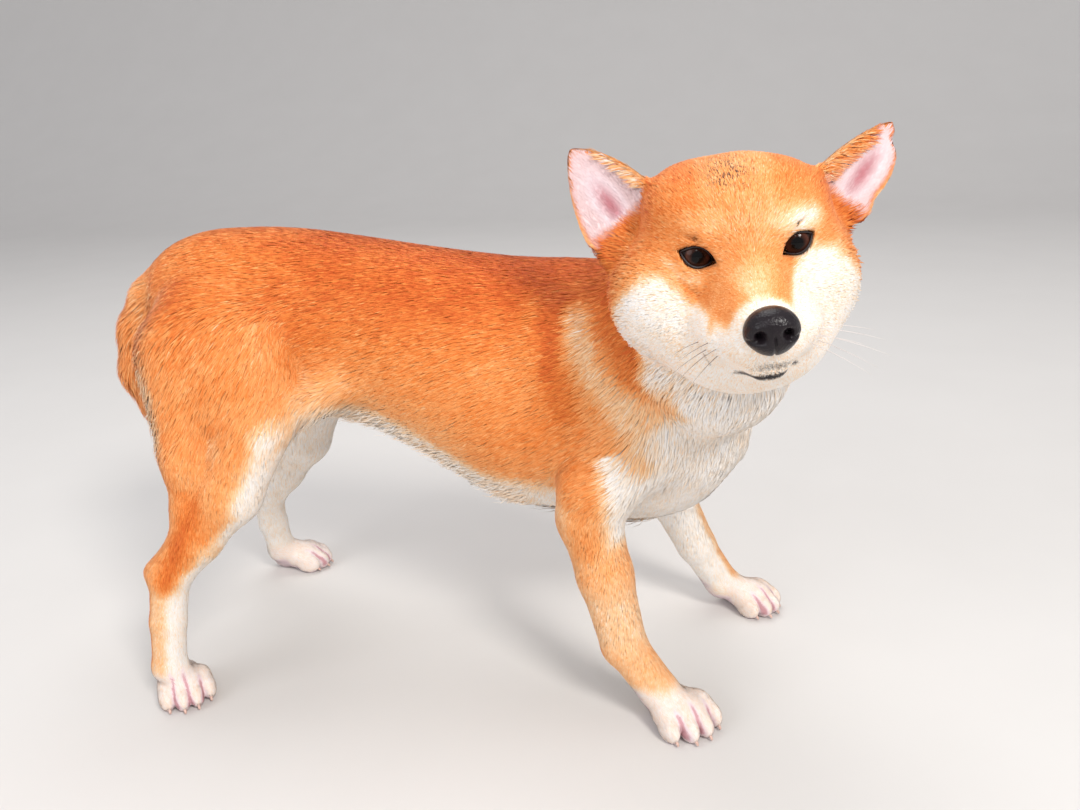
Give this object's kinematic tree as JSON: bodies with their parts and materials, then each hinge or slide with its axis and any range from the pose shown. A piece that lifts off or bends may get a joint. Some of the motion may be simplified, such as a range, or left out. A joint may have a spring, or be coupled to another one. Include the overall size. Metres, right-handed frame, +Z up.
{
  "type": "dog model",
  "caption": "Life-size still model of a shiba inu standing with its head turned to its right, red coat with cream underparts.",
  "frame": {"origin": "on the floor, under the middle of the model's bounding box", "axes": "+X the way the body faces, +Y the dog's left, +Z up"},
  "size_m": [0.653, 0.38, 0.4563],
  "materials": {
    "coat_red": "soft red-orange coat",
    "coat_sand": "paler sandy coat",
    "coat_cream": "cream coat",
    "nose": "moist black leather",
    "eye": "glossy dark brown"
  },
  "bodies": {
    "root": {"head": "coat_red", "nose": "nose", "ear_right": "coat_red", "ear_left": "coat_red", "eye_right": "eye", "eye_left": "eye", "neck": "coat_red", "chest": "coat_red", "loin": "coat_red", "tail_root": "coat_red", "tail_middle": "coat_red", "tail_tip": "coat_red", "upper_arm_right": "coat_red", "forearm_right": "coat_sand", "fore_paw_right": "coat_cream", "thigh_right": "coat_red", "shank_right": "coat_sand", "hind_paw_right": "coat_cream", "upper_arm_left": "coat_red", "forearm_left": "coat_sand", "fore_paw_left": "coat_cream", "thigh_left": "coat_red", "shank_left": "coat_sand", "hind_paw_left": "coat_cream"}
  },
  "joints": []
}
